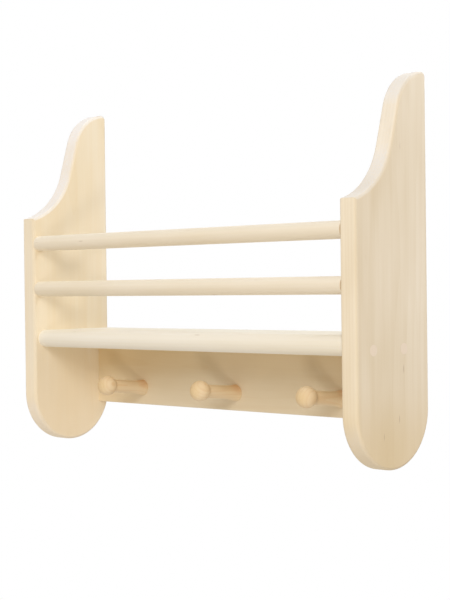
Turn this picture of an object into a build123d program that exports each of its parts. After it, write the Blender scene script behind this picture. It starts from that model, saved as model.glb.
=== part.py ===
from build123d import *
import os
from math import atan2, cos, degrees, radians, sin, sqrt

# Wall rack: two side panels hold a shelf, two guard rails and a rail with three turned pegs.
# X runs along the wall, Y = 0 is the wall and the front faces -Y, Z is up.
# The origin lies on the wall, midway between the two keyholes that the rack hangs on.
# All sizes are in millimetres. Heights are above the lowest point of the side panels.

# Side panels. Their height is to the top corner before it is rounded.
OVERALL_WIDTH = 450.0
PANEL_THICKNESS = 18.0
PANEL_DEPTH = 104.0
PANEL_HEIGHT = 354.0
FRONT_CORNER_HEIGHT = 237.0
TOP_CORNER_RADIUS = 5.0
EDGE_ROUND = 3.0
# The ogee leaves the wall level, as a crown, a straight and a cove, and meets the front edge at a slope.
OGEE_CROWN_RADIUS = 44.0
OGEE_STRAIGHT = 37.0
OGEE_END_SLOPE = 14.0
# The wood left between the end of a socket and the panel's outer face
PANEL_BLIND_WALL = 5.0

# Shelf
SHELF_THICKNESS = 18.0
SHELF_HEIGHT = 101.0
SHELF_SETBACK = 5.0
ARRIS = 1.0

# Guard rails: their fronts are flush with the panels' front edges
RAIL_DIAMETER = 16.0
LOWER_RAIL_HEIGHT = 162.5
UPPER_RAIL_HEIGHT = 210.5
RAIL_TENON_DIAMETER = 10.0

# Peg rail, set against the wall and under the shelf
PEG_RAIL_THICKNESS = 15.0
PEG_RAIL_WIDTH = 63.0
PEG_SPACING = 136.0
PEG_ABOVE_RAIL_EDGE = 18.0
PEG_RAIL_BLIND_WALL = 3.0

# Pegs: they lean up, and distances are from the face of the peg rail, along the peg's own axis
PEG_LEAN = 5.5
PEG_BASE_DIAMETER = 16.5
PEG_BASE_EDGE = 1.2
PEG_NECK_DIAMETER = 13.4
PEG_NECK_AT = 24.0
PEG_HEAD_DIAMETER = 20.2
PEG_HEAD_AT = 51.0
PEG_HEAD_FILLET = 4.0
PEG_TENON_DIAMETER = 10.0
# How far the base's two inner control points lie along it and across it, as shares of its reach
PEG_COVE_ALONG = (0.25, 0.45)
PEG_COVE_ACROSS = (0.6, 1.0)

# Dowel pins between the peg rail's ends and the panels
PIN_DIAMETER = 8.0
PIN_LENGTH = 30.0
PIN_INSET = 16.0
PIN_FLUTES = 10
PIN_FLUTE_DEPTH = 0.4
PIN_FLUTE_SHARE = 0.5

# Screws through the panels into the shelf's ends, under wooden plugs
SCREW_BACK_FROM_WALL = 37.0
SCREW_FRONT_FROM_NOSE = 18.0
SCREW_ABOVE_UNDERSIDE = 5.0
SCREW_LENGTH = 40.0
SCREW_DIAMETER = 4.0
SCREW_HEAD_DIAMETER = 8.0
SCREW_POINT = 5.0
DRIVE_WIDTH = 4.6
DRIVE_SLOT = 0.9
DRIVE_DEPTH = 1.8
PLUG_DIAMETER = 10.0
PLUG_HOLE_DEPTH = 6.0

# Keyholes in the wall edges of the panels: the head goes in below and the shank slides up
HANG_BELOW_TOP = 54.0
KEYHOLE_HEAD_DIAMETER = 9.5
KEYHOLE_SHANK_WIDTH = 5.0
KEYHOLE_LIP = 5.0
KEYHOLE_DEPTH = 10.0
KEYHOLE_TRAVEL = 11.0

# Clearances
GLUE_LINE = 0.05
SCREW_CLEARANCE = 0.1
HOLE_BOTTOM_GAP = 1.0
PLUG_GAP = 0.5
TURNED_CHAMFER = 1.0

# Places worked out from the sizes above
FOOT_Z = HANG_BELOW_TOP - PANEL_HEIGHT
OUTER_X = OVERALL_WIDTH / 2
INNER_X = OUTER_X - PANEL_THICKNESS
FRONT_Y = -PANEL_DEPTH
FOOT_RADIUS = PANEL_DEPTH / 2
RAIL_Y = FRONT_Y + RAIL_DIAMETER / 2
SHELF_FRONT_Y = FRONT_Y + SHELF_SETBACK
SHELF_Z = FOOT_Z + SHELF_HEIGHT
SCREW_Z = SHELF_Z + SCREW_ABOVE_UNDERSIDE
PEG_RAIL_Z = SHELF_Z - PEG_RAIL_WIDTH
PEG_Z = PEG_RAIL_Z + PEG_ABOVE_RAIL_EDGE
RAIL_Z = {
    "lower": FOOT_Z + LOWER_RAIL_HEIGHT,
    "upper": FOOT_Z + UPPER_RAIL_HEIGHT,
}
PEG_X = {"left": -PEG_SPACING, "middle": 0.0, "right": PEG_SPACING}
PIN_Z = {"lower": PEG_RAIL_Z + PIN_INSET, "upper": SHELF_Z - PIN_INSET}
SCREW_Y = {"back": -SCREW_BACK_FROM_WALL, "front": SHELF_FRONT_Y + SCREW_FRONT_FROM_NOSE}
SCREW_X = OUTER_X - PLUG_HOLE_DEPTH
SOCKET_DEPTH = PANEL_THICKNESS - PANEL_BLIND_WALL
PEG_HOLE_DEPTH = PEG_RAIL_THICKNESS - PEG_RAIL_BLIND_WALL

# What goes into a blind hole stops short of its bottom.
RAIL_TENON_LENGTH = SOCKET_DEPTH - HOLE_BOTTOM_GAP
PIN_IN_PANEL = SOCKET_DEPTH - HOLE_BOTTOM_GAP
PEG_TENON_LENGTH = PEG_HOLE_DEPTH - HOLE_BOTTOM_GAP


def rod(start_x, end_x, y, z, radius):
    """A cylinder along X between two places."""
    centre = Pos((start_x + end_x) / 2, y, z)
    return centre * Cylinder(radius, abs(end_x - start_x), rotation=(0, 90, 0))


def turned(outline):
    """A solid of revolution about Z from its half outline, drawn as (radius, height) from axis to axis."""
    axis = Line(outline[-1] @ 1, outline[0] @ 0)
    return revolve(Plane.XZ * make_face(outline + [axis]), Axis.Z)


def on_both_sides(right_hand):
    """The right-hand piece and its mirror image, by side."""
    return {"left": mirror(right_hand, about=Plane.YZ), "right": right_hand}


# ---- Side panels ----


def ogee():
    """The S-curve from the top of the wall edge down to the front corner: arc, line and arc."""
    slope = radians(OGEE_END_SLOPE)
    crown = OGEE_CROWN_RADIUS
    drop = PANEL_HEIGHT - crown - FRONT_CORNER_HEIGHT
    # The line touches both arcs, so its length fixes the distance of their centres, and so the cove.
    reach = PANEL_DEPTH**2 + drop**2 - crown**2 - OGEE_STRAIGHT**2
    cove = reach / (2 * (crown + drop * cos(slope) - PANEL_DEPTH * sin(slope)))
    centres_slope = atan2(drop - cove * cos(slope), PANEL_DEPTH + cove * sin(slope))
    steepest = centres_slope + atan2(crown + cove, OGEE_STRAIGHT)
    upper = JernArc((0, FOOT_Z + PANEL_HEIGHT), (-1, 0), crown, degrees(steepest))
    middle = PolarLine(upper @ 1, OGEE_STRAIGHT, direction=upper % 1)
    lower = JernArc(middle @ 1, middle % 1, cove, degrees(slope - steepest))
    return [upper, middle, lower]


def panel_outline():
    """The panel's shape seen from its end: half-round foot, upright edges and the ogee."""
    curve = ogee()
    foot_front = (FRONT_Y, FOOT_Z + FOOT_RADIUS)
    foot_back = (0, FOOT_Z + FOOT_RADIUS)
    front_edge = Line(curve[-1] @ 1, foot_front)
    foot = ThreePointArc(foot_front, (-FOOT_RADIUS, FOOT_Z), foot_back)
    wall_edge = Line(foot_back, curve[0] @ 0)
    face = make_face(curve + [front_edge, foot, wall_edge])
    top_corner = face.vertices().sort_by(Axis.Y)[-1]
    return fillet(top_corner, TOP_CORNER_RADIUS)


def panel_blank():
    """The right-hand panel with its outline rounded over on both faces."""
    board = Pos(INNER_X, 0, 0) * extrude(Plane.YZ * panel_outline(), PANEL_THICKNESS)
    faces = board.faces().filter_by(Axis.X)
    outline_edges = faces.sort_by(Axis.X)[0].edges() + faces.sort_by(Axis.X)[-1].edges()
    return fillet(outline_edges, EDGE_ROUND)


def keyhole():
    """The cutter for one keyhole: an entry hole, and a slot above it with a wider channel behind."""
    entry = extrude(Plane.XZ * Circle(KEYHOLE_HEAD_DIAMETER / 2), KEYHOLE_DEPTH)
    rise = Pos(0, KEYHOLE_TRAVEL / 2) * Rot(0, 0, 90)
    shank = rise * SlotCenterToCenter(KEYHOLE_TRAVEL, KEYHOLE_SHANK_WIDTH)
    head = rise * SlotCenterToCenter(KEYHOLE_TRAVEL, KEYHOLE_HEAD_DIAMETER)
    slot = extrude(Plane.XZ * shank, KEYHOLE_DEPTH)
    channel = extrude(Plane.XZ.offset(KEYHOLE_LIP) * head, KEYHOLE_DEPTH - KEYHOLE_LIP)
    return entry + slot + channel


def side_panel():
    """The right-hand panel with its sockets, screw holes and keyhole."""
    socket_end = INNER_X + SOCKET_DEPTH
    panel = panel_blank()
    for z in RAIL_Z.values():
        panel -= rod(INNER_X, socket_end, RAIL_Y, z, RAIL_TENON_DIAMETER / 2 + GLUE_LINE)
    for z in PIN_Z.values():
        panel -= rod(INNER_X, socket_end, -PEG_RAIL_THICKNESS / 2, z, PIN_DIAMETER / 2 + GLUE_LINE)
    for y in SCREW_Y.values():
        panel -= rod(SCREW_X, OUTER_X, y, SCREW_Z, PLUG_DIAMETER / 2 + GLUE_LINE)
        panel -= screw_hole(y)
    return panel - Pos((INNER_X + OUTER_X) / 2, 0, 0) * keyhole()


# ---- Screws and plugs ----


def screw_body(allowance=0.0):
    """A countersunk screw along -X with its head's face at the origin, thicker by an allowance."""
    head = SCREW_HEAD_DIAMETER / 2 + allowance
    shank = SCREW_DIAMETER / 2 + allowance
    outline = Polyline(
        (0, 0),
        (head, 0),
        (shank, shank - head),
        (shank, SCREW_POINT - SCREW_LENGTH),
        (0, -SCREW_LENGTH - allowance),
    )
    return Rot(0, 90, 0) * turned([outline])


def screw_hole(y):
    """The cutter for a right-hand screw's hole through the panel and into the shelf."""
    return Pos(SCREW_X, y, SCREW_Z) * screw_body(SCREW_CLEARANCE)


def screw(y):
    """A right-hand screw with the cross recess for its driver."""
    centre = Pos(-DRIVE_DEPTH / 2, 0, 0)
    upright = centre * Box(DRIVE_DEPTH, DRIVE_SLOT, DRIVE_WIDTH)
    level = centre * Box(DRIVE_DEPTH, DRIVE_WIDTH, DRIVE_SLOT)
    return Pos(SCREW_X, y, SCREW_Z) * (screw_body() - (upright + level))


def plug(y):
    """A right-hand wooden plug, flush with the panel's outer face."""
    return rod(SCREW_X + PLUG_GAP, OUTER_X, y, SCREW_Z, PLUG_DIAMETER / 2)


# ---- Shelf ----


def shelf_board():
    """The shelf between the panels: a half-round nose in front, an eased arris at the wall."""
    top = SHELF_Z + SHELF_THICKNESS
    middle = SHELF_Z + SHELF_THICKNESS / 2
    nose_y = SHELF_FRONT_Y + SHELF_THICKNESS / 2
    lower = Line((nose_y, SHELF_Z), (0, SHELF_Z))
    back = Line((0, SHELF_Z), (0, top))
    upper = Line((0, top), (nose_y, top))
    half_round = ThreePointArc((nose_y, top), (SHELF_FRONT_Y, middle), (nose_y, SHELF_Z))
    profile = make_face([lower, back, upper, half_round])
    back_corners = profile.vertices().group_by(Axis.X)[-1]
    profile = chamfer(back_corners.sort_by(Axis.Y)[-1], ARRIS)
    board = extrude(Plane.YZ * profile, INNER_X, both=True)
    for y in SCREW_Y.values():
        board -= screw_hole(y)
        board -= mirror(screw_hole(y), about=Plane.YZ)
    return board


# ---- Guard rails ----


def guard_rail(z):
    """A round rail between the panels, with a shouldered tenon turned on each end."""
    tenon_end = INNER_X + RAIL_TENON_LENGTH
    tenons = rod(-tenon_end, tenon_end, RAIL_Y, z, RAIL_TENON_DIAMETER / 2)
    ends = tenons.edges().group_by(Axis.X)
    tenons = chamfer(ends[0] + ends[-1], TURNED_CHAMFER)
    return tenons + rod(-INNER_X, INNER_X, RAIL_Y, z, RAIL_DIAMETER / 2)


# ---- Peg rail, pegs and dowel pins ----


def peg_rail():
    """The board that holds the pegs, with a hole for each peg and two pin holes at each end."""
    centre = Pos(0, -PEG_RAIL_THICKNESS / 2, PEG_RAIL_Z + PEG_RAIL_WIDTH / 2)
    board = centre * Box(2 * INNER_X, PEG_RAIL_THICKNESS, PEG_RAIL_WIDTH)
    lower_edges = board.edges().filter_by(Axis.X).group_by(Axis.Z)[0]
    board = fillet(lower_edges, ARRIS)
    for x in PEG_X.values():
        board -= peg_place(x) * tenon(PEG_HOLE_DEPTH, GLUE_LINE)
    pin_end = INNER_X - (PIN_LENGTH - PIN_IN_PANEL) - HOLE_BOTTOM_GAP
    for z in PIN_Z.values():
        radius = PIN_DIAMETER / 2 + GLUE_LINE
        board -= rod(pin_end, INNER_X, -PEG_RAIL_THICKNESS / 2, z, radius)
        board -= rod(-INNER_X, -pin_end, -PEG_RAIL_THICKNESS / 2, z, radius)
    return board


def peg_place(x):
    """Where a peg stands on the rail: Z runs out along the peg."""
    return Pos(x, -PEG_RAIL_THICKNESS, PEG_Z) * Rot(90 - PEG_LEAN, 0, 0)


def tenon(length, allowance=0.0):
    """The round tenon behind a peg, which starts inside its base, thicker by an allowance."""
    radius = PEG_TENON_DIAMETER / 2 + allowance
    return Pos(0, 0, (PEG_BASE_EDGE - length) / 2) * Cylinder(radius, PEG_BASE_EDGE + length)


def peg_outline():
    """Half the outline of a peg without its tenon as (radius, distance from the rail)."""
    base = (PEG_BASE_DIAMETER / 2, PEG_BASE_EDGE)
    neck = (PEG_NECK_DIAMETER / 2, PEG_NECK_AT)
    head = PEG_HEAD_DIAMETER / 2
    cove_points = []
    for along, across in zip(PEG_COVE_ALONG, PEG_COVE_ACROSS):
        radius = base[0] + (neck[0] - base[0]) * across
        cove_points.append((radius, base[1] + (neck[1] - base[1]) * along))
    cove = Bezier(base, *cove_points, neck)
    # The fillet touches the neck and the ball of the head, so its centre is known from both.
    fillet_reach = head + PEG_HEAD_FILLET
    across = neck[0] + PEG_HEAD_FILLET
    behind_head = sqrt(fillet_reach**2 - across**2)
    turn = degrees(atan2(behind_head, across))
    shaft = Line(neck, (neck[0], PEG_HEAD_AT - behind_head))
    throat = JernArc(shaft @ 1, (0, 1), PEG_HEAD_FILLET, -turn)
    ball = JernArc(throat @ 1, throat % 1, head, 90 + turn)
    foot = Polyline((0, -PEG_BASE_EDGE), (base[0], -PEG_BASE_EDGE), base)
    return [foot, cove, shaft, throat, ball]


def peg(x):
    """A turned peg, whose base is cut at its lean so that it seats on the rail all round."""
    turning = split(peg_place(x) * turned(peg_outline()), Plane.XZ.offset(PEG_RAIL_THICKNESS), keep=Keep.TOP)
    peg_tenon = tenon(PEG_TENON_LENGTH)
    inner_end = peg_tenon.edges().filter_by(GeomType.CIRCLE).sort_by(Axis.Z)[0]
    return turning + peg_place(x) * chamfer(inner_end, TURNED_CHAMFER)


def dowel_pin():
    """A fluted dowel pin along X with chamfered ends."""
    radius = PIN_DIAMETER / 2
    flute_edge = PIN_FLUTE_SHARE / 2
    points = []
    for flute in range(PIN_FLUTES):
        for share, depth in ((0.0, PIN_FLUTE_DEPTH), (flute_edge, 0.0), (1.0 - flute_edge, 0.0)):
            angle = radians(360 * (flute + share) / PIN_FLUTES)
            points.append(((radius - depth) * cos(angle), (radius - depth) * sin(angle)))
    fluted = extrude(Plane.YZ * make_face(Polyline(*points, close=True)), PIN_LENGTH / 2, both=True)
    blank = Cylinder(radius, PIN_LENGTH, rotation=(0, 90, 0))
    return fluted & chamfer(blank.edges().filter_by(GeomType.CIRCLE), TURNED_CHAMFER)


# ---- The assembly ----


def pieces():
    """Every piece in its place, by name."""
    made = {"shelf_board": shelf_board(), "peg_rail": peg_rail()}
    for side, panel in on_both_sides(side_panel()).items():
        made[f"side_panel_{side}"] = panel
    for level, z in RAIL_Z.items():
        made[f"guard_rail_{level}"] = guard_rail(z)
    for place, x in PEG_X.items():
        made[f"peg_{place}"] = peg(x)
    for level, z in PIN_Z.items():
        centre_x = INNER_X + PIN_IN_PANEL - PIN_LENGTH / 2
        right_hand = Pos(centre_x, -PEG_RAIL_THICKNESS / 2, z) * dowel_pin()
        for side, pin in on_both_sides(right_hand).items():
            made[f"dowel_pin_{side}_{level}"] = pin
    for place, y in SCREW_Y.items():
        for side, wooden_plug in on_both_sides(plug(y)).items():
            made[f"plug_{side}_{place}"] = wooden_plug
        for side, wood_screw in on_both_sides(screw(y)).items():
            made[f"shelf_screw_{side}_{place}"] = wood_screw
    return made


os.makedirs("parts", exist_ok=True)
for name, piece in pieces().items():
    export_step(piece, f"parts/{name}.step")
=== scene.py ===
from math import pi, radians

import bmesh
import bpy
from mathutils import Euler, Matrix, Vector


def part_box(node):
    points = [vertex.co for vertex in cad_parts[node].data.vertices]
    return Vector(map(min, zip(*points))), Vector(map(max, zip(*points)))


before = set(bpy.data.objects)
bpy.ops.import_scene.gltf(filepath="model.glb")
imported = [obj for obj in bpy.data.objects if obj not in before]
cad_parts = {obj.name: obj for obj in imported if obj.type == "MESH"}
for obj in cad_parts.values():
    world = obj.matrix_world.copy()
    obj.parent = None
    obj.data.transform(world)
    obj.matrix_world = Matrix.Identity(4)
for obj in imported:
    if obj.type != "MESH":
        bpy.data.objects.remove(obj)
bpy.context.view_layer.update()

# A hanging rack of sanded birch. X runs along the wall, the front faces -Y, and Z is up.
# Places are in metres, and the sizes of the wood's own patterns in millimetres.
MM = 0.001

scene = bpy.context.scene
scene.view_settings.view_transform = "Standard"


# ---- Camera ----
# It stands to the right of the rack, level with the lower rail, and looks about 44 degrees to the left.

CAMERA_PLACE = (0.968268, -1.046960, -0.137901)
CAMERA_TURN = 43.5639
CAMERA_TILT = -0.5221
CAMERA_ROLL = -0.6980
LENS_MM = 84.67
SENSOR_MM = 36.0

camera = bpy.data.objects.new("camera", bpy.data.cameras.new("camera"))
camera.data.lens = LENS_MM
camera.data.sensor_width = SENSOR_MM
turned_left = Matrix.Rotation(radians(CAMERA_TURN), 4, "Z")
level = Matrix.Rotation(pi / 2 + radians(CAMERA_TILT), 4, "X")
rolled = Matrix.Rotation(radians(CAMERA_ROLL), 4, "Z")
camera.matrix_world = Matrix.Translation(CAMERA_PLACE) @ turned_left @ level @ rolled
scene.collection.objects.link(camera)
scene.camera = camera


# ---- Colours and nodes ----

WHITE = "#FFFFFF"
# A Mix node has sockets of the same name for numbers, vectors and colours. These are its colour ones.
MIX_SHARE = 0
MIX_FIRST = 6
MIX_SECOND = 7


def linear(hex_colour):
    """A colour as the shaders take it, from its sRGB hex value."""
    shares = [int(hex_colour[i : i + 2], 16) / 255 for i in (1, 3, 5)]
    return tuple(s / 12.92 if s <= 0.04045 else ((s + 0.055) / 1.055) ** 2.4 for s in shares) + (1.0,)


def add(nodes, kind, inputs=None, **settings):
    """Adds a shader node with its settings. Each input is a value, or a socket or node to link from."""
    made = nodes.new("ShaderNode" + kind)
    for name, value in settings.items():
        setattr(made, name, value)
    for name, value in (inputs or {}).items():
        if isinstance(value, bpy.types.Node):
            value = next(output for output in value.outputs if output.enabled)
        if isinstance(value, bpy.types.NodeSocket):
            nodes.id_data.links.new(value, made.inputs[name])
        else:
            made.inputs[name].default_value = value
    return made


def new_material(name):
    """An empty material, and its nodes."""
    made = bpy.data.materials.new(name)
    made.use_nodes = True
    made.node_tree.nodes.clear()
    return made, made.node_tree.nodes


# ---- Light and surroundings ----

ROOM_COLOUR = "#FFEDD8"
ROOM_LIGHT = 0.46
BACKDROP_LIGHT = 1.0
LAMP_AIM = (0.0, -0.05, -0.12)
SOFTBOXES = {
    "key_softbox": {"place": (1.78, -2.69, 1.57), "size": 1.6, "watts": 59.0, "colour": "#FAFCFF"},
    "side_softbox": {"place": (0.38, 0.61, 0.52), "size": 0.45, "watts": 4.4, "colour": "#E8F3FF"},
    "top_softbox": {"place": (-0.17, -0.35, 0.82), "size": 0.45, "watts": 2.9, "colour": "#D2E6FF"},
    "low_fill": {"place": (1.01, -1.35, -0.85), "size": 0.3, "watts": 4.2, "colour": WHITE},
}

FLOOR_BELOW_ORIGIN = 1.5
FLOOR_HALF_WIDTH = 20.0
FLOOR_PAINT = "#F4F4F2"
FLOOR_ROUGHNESS = 0.8
# The floor fades into the white backdrop: by half under the rack, and wholly out of its shadow's reach.
FADE_REACH = (0.8, 1.8)
FADE_UNDER_RACK = 0.5


def softbox(name, place, size, watts, colour):
    """A square lamp aimed at the rack, which the camera doesn't see."""
    lamp = bpy.data.lights.new(name, "AREA")
    lamp.size = size
    lamp.energy = watts
    lamp.color = linear(colour)[:3]
    made = bpy.data.objects.new(name, lamp)
    made.location = place
    made.rotation_euler = (Vector(LAMP_AIM) - Vector(place)).to_track_quat("-Z", "Y").to_euler()
    made.visible_camera = False
    scene.collection.objects.link(made)


def seen_directly(nodes):
    """1 for what the camera sees, straight on, in a gloss or through glass, and 0 for what lights things."""
    path = add(nodes, "LightPath").outputs
    gloss_too = add(nodes, "Math", {0: path["Is Camera Ray"], 1: path["Is Glossy Ray"]}, operation="MAXIMUM")
    return add(nodes, "Math", {0: gloss_too, 1: path["Is Transmission Ray"]}, operation="MAXIMUM")


def studio_surroundings():
    """An even pale light from all round, which looks plain white itself."""
    world = bpy.data.worlds.new("studio")
    world.use_nodes = True
    nodes = world.node_tree.nodes
    nodes.clear()
    lighting = add(nodes, "Background", {"Color": linear(ROOM_COLOUR), "Strength": ROOM_LIGHT})
    backdrop = add(nodes, "Background", {"Color": linear(WHITE), "Strength": BACKDROP_LIGHT})
    seen = add(nodes, "MixShader", {0: seen_directly(nodes), 1: lighting, 2: backdrop})
    add(nodes, "OutputWorld", {"Surface": seen})
    scene.world = world


def painted_floor():
    """Matt white floor paint, which fades to the white backdrop away from the rack's shadow."""
    made, nodes = new_material("matt white floor paint")
    paint = add(nodes, "BsdfPrincipled", {"Base Color": linear(FLOOR_PAINT), "Roughness": FLOOR_ROUGHNESS})
    white = add(nodes, "Emission", {"Color": linear(WHITE), "Strength": BACKDROP_LIGHT})
    place = add(nodes, "TexCoord").outputs["Object"]
    distance = add(nodes, "VectorMath", {0: place}, operation="LENGTH")
    near, far = FADE_REACH
    away = add(
        nodes,
        "MapRange",
        {"Value": distance, "From Min": near, "From Max": far, "To Min": FADE_UNDER_RACK},
        interpolation_type="SMOOTHSTEP",
    )
    white_share = add(nodes, "Math", {0: away, 1: seen_directly(nodes)}, operation="MULTIPLY")
    both = add(nodes, "MixShader", {0: white_share, 1: paint, 2: white})
    add(nodes, "OutputMaterial", {"Surface": both})
    return made


def floor():
    """The floor, as far below the rack as it hangs above one."""
    shape = bmesh.new()
    bmesh.ops.create_grid(shape, x_segments=1, y_segments=1, size=FLOOR_HALF_WIDTH)
    mesh = bpy.data.meshes.new("floor")
    shape.to_mesh(mesh)
    shape.free()
    mesh.materials.append(painted_floor())
    made = bpy.data.objects.new("floor", mesh)
    made.location = (0.0, 0.0, -FLOOR_BELOW_ORIGIN)
    scene.collection.objects.link(made)


studio_surroundings()
for softbox_name, settings in SOFTBOXES.items():
    softbox(softbox_name, **settings)
floor()


# ---- Birch ----
# Birch is pale and even, and sanded birch has a soft satin shine. Its yearly rings show only as faint darker
# lines, its pores are too small to see, and short brown flecks lie here and there along its grain. It is
# duller where it is cut across the grain. Some pieces also carry painted light and shade in their colour:
# graded across the boards, near white on the panels' end grain, golden at the peg rail's left end, darker
# on rounded-over edges and warm by the pegs' roots.

# How far the grain frame is turned from the rack's: its Z runs along the grain.
GRAIN_ALONG_X = (0.0, -pi / 2, 0.0)
GRAIN_ALONG_Y = (pi / 2, 0.0, 0.0)
GRAIN_ALONG_Z = (0.0, 0.0, 0.0)
# A plug is cut from a board's face, so its grain lies in its disc, a little off the board's.
GRAIN_OF_PLUG = (radians(24.0), 0.0, 0.0)

# Each pattern's size across the grain, across the grain and along the grain
WANDER_SIZE = (70.0, 70.0, 320.0)
BLOTCH_SIZE = (38.0, 38.0, 170.0)
STREAK_SIZE = (4.5, 4.5, 130.0)
# Real fibres are 0.02 mm wide, too fine to show, so these are bundles of them.
FIBRE_SIZE = (1.1, 1.1, 34.0)
FLECK_SPACING = (7.0, 7.0, 62.0)
# Real pores are under 0.1 mm wide, too fine to show, so these are clusters of them.
PORE_SIZE = (0.8, 0.8, 0.8)
PATCH_DETAIL = 2.0
FIBRE_DETAIL = 3.0
# Streaks and fibres are taken from other places in the noise, so that they don't repeat the blotches.
STREAK_SHIFT = 3.7
FIBRE_SHIFT = 11.3

RING_WIDTH = 3.2
RING_WANDER = 9.0
LATE_WOOD_FROM = 0.35
# How far apart a Wave Texture's rings are at a scale of 1
WAVE_SPACING = 2 * pi / 20

# The noise between which each pattern goes from none to full
PATCH_LIMITS = (0.3, 0.7)
FIBRE_LIMITS = (0.25, 0.75)
PORE_LIMITS = (0.3, 0.8)

# How far each pattern pulls the colour from pale towards warm
PLAIN_PULL = 0.2
RING_PULL = 0.09
BLOTCH_PULL = 0.3
STREAK_PULL = 0.08
FIBRE_PULL = 0.11

# A fleck's reach and its full core, in shares of the spacing, and the share of places that have one
FLECK_REACH = 0.085
FLECK_CORE = 0.4 * FLECK_REACH
FLECK_SHARE = 0.3
FLECK_BROWN = "#8E6A45"
FLECK_STRENGTH = 0.45
FLECK_DEPTH = 0.5

END_GRAIN_BETWEEN_PORES = 0.35
END_GRAIN_ROUGHER = 0.12
# A painted warm shade on each peg near its root, where the peg rail shades it
PAINTED_ROOT_SHADE = "#DB9A5E"
PAINTED_ROOT_SHADE_STRENGTH = 0.45
# A painted shade on rounded-over edges, which dulls the light on them, and how much smoother handling leaves
# them
PAINTED_EDGE_SHADE = "#D9C7A6"
PAINTED_EDGE_SHADE_STRENGTH = 0.35
WORN_SMOOTHER = 0.08

BIRCH_IOR = 1.5
BIRCH_ROUGHNESS = 0.62
FIBRE_ROUGHNESS = 0.06
FIBRE_RELIEF = 0.035
RELIEF_STRENGTH = 0.6


def in_grain(nodes, grain, from_pith):
    """Places in millimetres from the tree's pith, with Z along the grain. The rack's origin is from_pith."""
    place = add(nodes, "TexCoord").outputs["Object"]
    per_mm = (1 / MM, 1 / MM, 1 / MM)
    return add(
        nodes, "Mapping", {"Vector": place, "Location": from_pith, "Rotation": grain, "Scale": per_mm}
    )


def patches(nodes, place, size, detail=PATCH_DETAIL, shift=0.0):
    """Random patches of a size in millimetres."""
    per_patch = tuple(1 / length for length in size)
    scaled = add(nodes, "Mapping", {"Vector": place, "Location": (shift, shift, shift), "Scale": per_patch})
    return add(nodes, "TexNoise", {"Vector": scaled, "Scale": 1.0, "Detail": detail})


def soft_patches(nodes, place, size, shift=0.0):
    """Random patches of a size in millimetres, drawn out from none to full."""
    low, high = PATCH_LIMITS
    return add(
        nodes,
        "MapRange",
        {"Value": patches(nodes, place, size, shift=shift), "From Min": low, "From Max": high},
        interpolation_type="SMOOTHSTEP",
    )


def year_rings(nodes, place):
    """The late wood's line at the end of each year ring."""
    drift = patches(nodes, place, WANDER_SIZE).outputs["Color"]
    wandering = add(
        nodes,
        "VectorMath",
        {0: drift, 1: (RING_WANDER, RING_WANDER, 0.0), 2: place},
        operation="MULTIPLY_ADD",
    )
    rings = add(
        nodes,
        "TexWave",
        {"Vector": wandering, "Scale": WAVE_SPACING / RING_WIDTH},
        wave_type="RINGS",
        rings_direction="Z",
        wave_profile="SAW",
    )
    return add(
        nodes,
        "MapRange",
        {"Value": rings.outputs["Fac"], "From Min": LATE_WOOD_FROM},
        interpolation_type="SMOOTHSTEP",
    )


def pith_flecks(nodes, place):
    """Sparse short streaks along the grain, where insects fed under the bark."""
    per_fleck = tuple(1 / length for length in FLECK_SPACING)
    scaled = add(nodes, "Mapping", {"Vector": place, "Scale": per_fleck})
    cells = add(nodes, "TexVoronoi", {"Vector": scaled, "Scale": 1.0}).outputs
    near = add(
        nodes,
        "MapRange",
        {"Value": cells["Distance"], "From Min": FLECK_REACH, "From Max": FLECK_CORE},
        interpolation_type="SMOOTHSTEP",
    )
    draw = add(nodes, "SeparateColor", {"Color": cells["Color"]}).outputs["Red"]
    chosen = add(nodes, "Math", {0: draw, 1: FLECK_SHARE}, operation="LESS_THAN")
    return add(nodes, "Math", {0: near, 1: chosen}, operation="MULTIPLY")


def pores(nodes, place):
    """How strongly cut fibres show their end: a little between the pores, and fully at them."""
    low, high = PORE_LIMITS
    return add(
        nodes,
        "MapRange",
        {
            "Value": patches(nodes, place, PORE_SIZE),
            "From Min": low,
            "From Max": high,
            "To Min": END_GRAIN_BETWEEN_PORES,
        },
        interpolation_type="SMOOTHSTEP",
    )


def graded(nodes, axis, start, stop, at_start=0.0, at_stop=1.0):
    """A value that changes smoothly between two places on one of the rack's axes."""
    place = add(nodes, "TexCoord").outputs["Object"]
    along = add(nodes, "SeparateXYZ", {"Vector": place}).outputs[axis]
    return add(
        nodes,
        "MapRange",
        {"Value": along, "From Min": start, "From Max": stop, "To Min": at_start, "To Max": at_stop},
        interpolation_type="SMOOTHSTEP",
    )


def near_line(nodes, line_y, line_z, reach):
    """1 on a line that runs along the rack, and 0 from its reach on."""
    place = add(nodes, "TexCoord").outputs["Object"]
    away = add(nodes, "VectorMath", {0: place, 1: (0.0, line_y, line_z)}, operation="SUBTRACT")
    across = add(nodes, "VectorMath", {0: away, 1: (0.0, 1.0, 1.0)}, operation="MULTIPLY")
    distance = add(nodes, "VectorMath", {0: across}, operation="LENGTH")
    return add(
        nodes,
        "MapRange",
        {"Value": distance, "From Min": reach, "From Max": 0.0},
        interpolation_type="SMOOTHSTEP",
    )


def facing(nodes, axis):
    """How squarely the surface faces along an axis, from 0 to 1."""
    normal = add(nodes, "TexCoord").outputs["Normal"]
    dot = add(nodes, "VectorMath", {0: normal, 1: axis}, operation="DOT_PRODUCT")
    return add(nodes, "Math", {0: dot}, operation="ABSOLUTE")


def end_grain(nodes, grain, limits):
    """1 where the surface is cut across the grain, and 0 where it lies along it."""
    along_grain = Euler(grain).to_matrix().transposed() @ Vector((0.0, 0.0, 1.0))
    low, high = limits
    return add(
        nodes,
        "MapRange",
        {"Value": facing(nodes, along_grain), "From Min": low, "From Max": high},
        interpolation_type="SMOOTHSTEP",
    )


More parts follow.
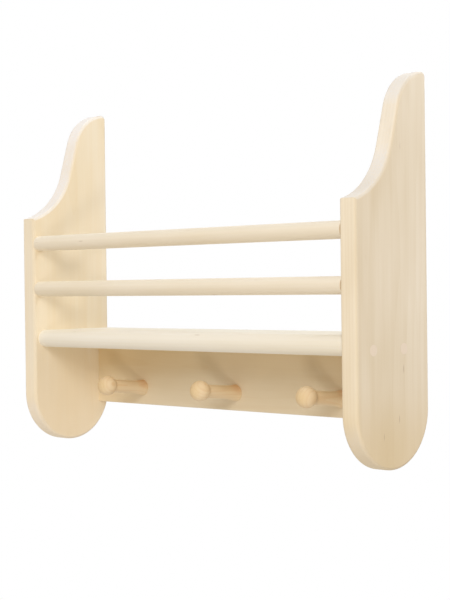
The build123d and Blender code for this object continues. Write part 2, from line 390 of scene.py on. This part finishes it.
def rounded_edge(nodes, board_face):
    """1 halfway round a rounded-over edge between a board's face and its side, and 0 on both of those."""
    square_on = facing(nodes, board_face)
    squared = add(nodes, "Math", {0: square_on, 1: square_on}, operation="MULTIPLY")
    rest = add(nodes, "Math", {0: 1.0, 1: squared}, operation="SUBTRACT")
    bulge = add(nodes, "Math", {0: squared, 1: rest}, operation="MULTIPLY")
    bulge_halfway = 0.5 * 0.5
    return add(nodes, "Math", {0: bulge, 1: 1 / bulge_halfway}, operation="MULTIPLY")


def pulled(nodes, value, pattern, pull):
    """A value with a pattern added to it, as strong as its pull."""
    return add(nodes, "Math", {0: pattern, 1: pull, 2: value}, operation="MULTIPLY_ADD")


def tinted(nodes, colour, tint, pattern, strength):
    """A colour with another colour laid over it where a pattern is, as strong as it says. Some of these are
    real marks, some painted light and shade.
    """
    share = add(nodes, "Math", {0: pattern, 1: strength}, operation="MULTIPLY")
    return add(
        nodes, "Mix", {MIX_SHARE: share, MIX_FIRST: colour, MIX_SECOND: linear(tint)}, data_type="RGBA"
    )


def tinted_towards_end(nodes, colour, axis, start, stop, tint, strength):
    """A board's colour, tinted more and more towards one of its ends."""
    return tinted(nodes, colour, tint, graded(nodes, axis, start, stop), strength)


def birch(
    name,
    grain,
    from_pith,
    pale,
    warm,
    end,
    end_limits=(0.5, 0.97),
    ring_pull=RING_PULL,
    board_face=None,
    edge_pull=0.0,
    painted_light_grade=None,
    end_tint=None,
    painted_root_shade=None,
):
    """Birch from pale to warm, with its end grain, and with what a board or a peg has of its own.

    end_limits says how squarely a surface faces along the grain where it starts to show end grain, and where
    it shows nothing else. board_face is the axis that a board's faces look along, which also finds the
    rounded-over edges that get a painted shade, and edge_pull is how much warmer its edges are than its
    faces.
    painted_light_grade grades a board's warmth from one place to another as painted light and shade,
    end_tint tints it towards one of its ends, and painted_root_shade paints a warm shade on a peg near a
    line.
    """
    made, nodes = new_material(name)
    place = in_grain(nodes, grain, from_pith)
    ends = end_grain(nodes, grain, end_limits)
    fibres = patches(nodes, place, FIBRE_SIZE, detail=FIBRE_DETAIL, shift=FIBRE_SHIFT)
    flecks = pith_flecks(nodes, place)

    # The patterns add up to how warm the wood is, on top of a painted light and shade graded across some
    # boards.
    warmth = graded(nodes, **painted_light_grade) if painted_light_grade else PLAIN_PULL
    warmth = pulled(nodes, warmth, year_rings(nodes, place), ring_pull)
    warmth = pulled(nodes, warmth, soft_patches(nodes, place, BLOTCH_SIZE), BLOTCH_PULL)
    warmth = pulled(nodes, warmth, soft_patches(nodes, place, STREAK_SIZE, STREAK_SHIFT), STREAK_PULL)
    warmth = pulled(nodes, warmth, fibres, FIBRE_PULL)
    if edge_pull:
        off_face = add(nodes, "Math", {0: 1.0, 1: facing(nodes, board_face)}, operation="SUBTRACT")
        warmth = pulled(nodes, warmth, off_face, edge_pull)
    colour = add(
        nodes,
        "Mix",
        {MIX_SHARE: warmth, MIX_FIRST: linear(pale), MIX_SECOND: linear(warm)},
        data_type="RGBA",
    )

    # The other colours lie over it, with the painted shade of the rounded-over edges on top.
    colour = tinted(nodes, colour, end, ends, pores(nodes, place))
    if end_tint:
        colour = tinted_towards_end(nodes, colour, **end_tint)
    # A painted warm shade on a peg near its root
    if painted_root_shade:
        colour = tinted(nodes, colour, PAINTED_ROOT_SHADE, near_line(nodes, **painted_root_shade), PAINTED_ROOT_SHADE_STRENGTH)
    colour = tinted(nodes, colour, FLECK_BROWN, flecks, FLECK_STRENGTH)

    # Fibres and end grain scatter the light, and handling polishes the edges.
    fibre_low, fibre_high = FIBRE_LIMITS
    roughness = add(
        nodes,
        "MapRange",
        {
            "Value": fibres,
            "From Min": fibre_low,
            "From Max": fibre_high,
            "To Min": BIRCH_ROUGHNESS - FIBRE_ROUGHNESS,
            "To Max": BIRCH_ROUGHNESS + FIBRE_ROUGHNESS,
        },
        interpolation_type="SMOOTHSTEP",
    )
    roughness = pulled(nodes, roughness, ends, END_GRAIN_ROUGHER)
    if board_face:
        rounding = rounded_edge(nodes, board_face)
        # Rounded-over edges get a painted shade that dulls the light on them, and handling polishes them.
        colour = tinted(nodes, colour, PAINTED_EDGE_SHADE, rounding, PAINTED_EDGE_SHADE_STRENGTH)
        roughness = pulled(nodes, roughness, rounding, -WORN_SMOOTHER)

    # Fibres stand up a little, and flecks lie a little lower.
    height = pulled(nodes, fibres, flecks, -FLECK_DEPTH)
    relief = add(
        nodes, "Bump", {"Height": height, "Strength": RELIEF_STRENGTH, "Distance": FIBRE_RELIEF * MM}
    )
    shader = add(
        nodes,
        "BsdfPrincipled",
        {"Base Color": colour, "Roughness": roughness, "Normal": relief, "IOR": BIRCH_IOR},
    )
    add(nodes, "OutputMaterial", {"Surface": shader})
    return made


# ---- Finishes of the wooden pieces ----

panel_low, panel_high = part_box("side_panel_left")
peg_rail_low, peg_rail_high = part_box("peg_rail")
foot = panel_low.z
peg_rail_end = peg_rail_low.x
peg_rail_middle = (peg_rail_low.z + peg_rail_high.z) / 2

# The axis that each board's faces look along
PANEL_FACE = (1.0, 0.0, 0.0)
PEG_RAIL_FACE = (0.0, 1.0, 0.0)

# An upright board whose edges look paler than its faces, with painted light that pales it towards the wall
# and makes its end grain near white on the ogee top, and which is creamier towards its foot
left_board_birch = birch(
    "birch board, planed and sanded, creamy at its foot",
    grain=GRAIN_ALONG_Z,
    from_pith=(-70.0, 60.0, 240.0),
    pale="#F6ECD8",
    warm="#E8D3AA",
    end="#F2F0F0",
    end_limits=(0.05, 0.35),
    board_face=PANEL_FACE,
    edge_pull=-0.2,
    painted_light_grade={
        "axis": "Y",
        "start": panel_low.y,
        "stop": panel_high.y,
        "at_start": 0.29,
        "at_stop": 0.17,
    },
    end_tint={
        "axis": "Z",
        "start": foot + 120.0 * MM,
        "stop": foot,
        "tint": "#FFEDCC",
        "strength": 0.6,
    },
)

# An upright board, warm along its front and nearly white along the wall as painted light, with near white
# end grain as painted light on its ogee top, and browner near its foot
right_board_birch = birch(
    "birch board, planed and sanded, browner near its foot",
    grain=GRAIN_ALONG_Z,
    from_pith=(-90.0, 60.0, 0.0),
    pale="#FFF6E5",
    warm="#E0CEAB",
    end="#E6E3DF",
    end_limits=(0.1, 0.5),
    board_face=PANEL_FACE,
    edge_pull=0.1,
    painted_light_grade={
        "axis": "Y",
        "start": panel_low.y,
        "stop": panel_high.y,
        "at_start": 0.32,
        "at_stop": 0.0,
    },
    end_tint={
        "axis": "Z",
        "start": foot + 85.0 * MM,
        "stop": foot + 10.0 * MM,
        "tint": "#E4CC9C",
        "strength": 0.5,
    },
)

# The whitest board of the rack, with hardly a change along it
shelf_birch = birch(
    "birch board, planed and sanded, nearly white",
    grain=GRAIN_ALONG_X,
    from_pith=(-300.0, 45.0, 500.0),
    pale="#F6F2E8",
    warm="#E9DEC4",
    end="#DCCBA8",
)

# A board darker than the others, partly as painted shade from the shelf above it, tan along its upper edge
# and paler along its lower one as painted shade under the shelf, and golden at its left end as painted light
peg_rail_birch = birch(
    "birch board, planed and sanded, tan at its heart side",
    grain=GRAIN_ALONG_X,
    from_pith=(-225.0, -95.0, 900.0),
    pale="#E5D6B9",
    warm="#D6BD90",
    end="#CBB286",
    board_face=PEG_RAIL_FACE,
    painted_light_grade={
        "axis": "Z",
        "start": peg_rail_high.z,
        "stop": peg_rail_low.z,
        "at_start": 0.5,
        "at_stop": -0.24,
    },
    end_tint={
        "axis": "X",
        "start": peg_rail_end + 107.0 * MM,
        "stop": peg_rail_end + 7.0 * MM,
        "tint": "#F6DCAC",
        "strength": 0.3,
    },
)

# A pale straight-grained rod, smooth all round
rail_birch = birch(
    "birch dowel rod, rounded and sanded",
    grain=GRAIN_ALONG_X,
    from_pith=(-60.0, 70.0, 1300.0),
    pale="#F1E8D7",
    warm="#E5D5B5",
    end="#DBC7A5",
)

# Turned wood, whose rings show more than a board's, golden, with a painted warm shade by the peg's root
peg_birch = birch(
    "birch, turned on a lathe and sanded",
    grain=GRAIN_ALONG_Y,
    from_pith=(-40.0, -215.0, 0.0),
    pale="#F3E4C6",
    warm="#DEBC8A",
    end="#E2C796",
    ring_pull=0.2,
    painted_root_shade={
        "line_y": peg_rail_low.y - 3.0 * MM,
        "line_z": peg_rail_middle - 4.5 * MM,
        "reach": 13.0 * MM,
    },
)

# A pale disc, told from the board round it only by its colour
plug_birch = birch(
    "birch plug, cut from a board's face and sanded flush",
    grain=GRAIN_OF_PLUG,
    from_pith=(-70.0, 20.0, 0.0),
    pale="#FBEFE1",
    warm="#F1E0C8",
    end="#E5CAA4",
)

# A plain yellowish pin, out of sight once it is glued in
pin_birch = birch(
    "birch dowel pin, fluted and unfinished",
    grain=GRAIN_ALONG_X,
    from_pith=(-150.0, 40.0, 0.0),
    pale="#EEDDBB",
    warm="#E0C898",
    end="#D4B885",
)


# ---- Finish of the screws ----

ZINC_BRIGHT = "#C9C8C2"
ZINC_DULL = "#A9A79E"
ZINC_ROUGHNESS = (0.28, 0.42)
ZINC_CLOUD_SIZE = 1.5
ZINC_CLOUD_DETAIL = 3.0


def zinc_plated_steel():
    """Zinc plate over drawn steel: a bright grey metal with a cloudy, faintly uneven shine."""
    made, nodes = new_material("zinc plated steel")
    place = add(nodes, "TexCoord").outputs["Object"]
    clouds = add(
        nodes,
        "TexNoise",
        {"Vector": place, "Scale": 1 / (ZINC_CLOUD_SIZE * MM), "Detail": ZINC_CLOUD_DETAIL},
    )
    colour = add(
        nodes,
        "Mix",
        {MIX_SHARE: clouds, MIX_FIRST: linear(ZINC_BRIGHT), MIX_SECOND: linear(ZINC_DULL)},
        data_type="RGBA",
    )
    low, high = PATCH_LIMITS
    smoothest, roughest = ZINC_ROUGHNESS
    roughness = add(
        nodes,
        "MapRange",
        {"Value": clouds, "From Min": low, "From Max": high, "To Min": smoothest, "To Max": roughest},
        interpolation_type="SMOOTHSTEP",
    )
    shader = add(nodes, "BsdfPrincipled", {"Base Color": colour, "Roughness": roughness, "Metallic": 1.0})
    add(nodes, "OutputMaterial", {"Surface": shader})
    return made


# ---- Which piece has which finish ----

# By what the pieces' names start with
FINISHES = {
    "side_panel_left": left_board_birch,
    "side_panel_right": right_board_birch,
    "shelf_board": shelf_birch,
    "peg_rail": peg_rail_birch,
    "guard_rail": rail_birch,
    "peg_left": peg_birch,
    "peg_middle": peg_birch,
    "peg_right": peg_birch,
    "plug": plug_birch,
    "dowel_pin": pin_birch,
    "shelf_screw": zinc_plated_steel(),
}
for node_name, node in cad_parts.items():
    (finish,) = [made for start, made in FINISHES.items() if node_name.startswith(start)]
    node.material_slots[0].material = finish
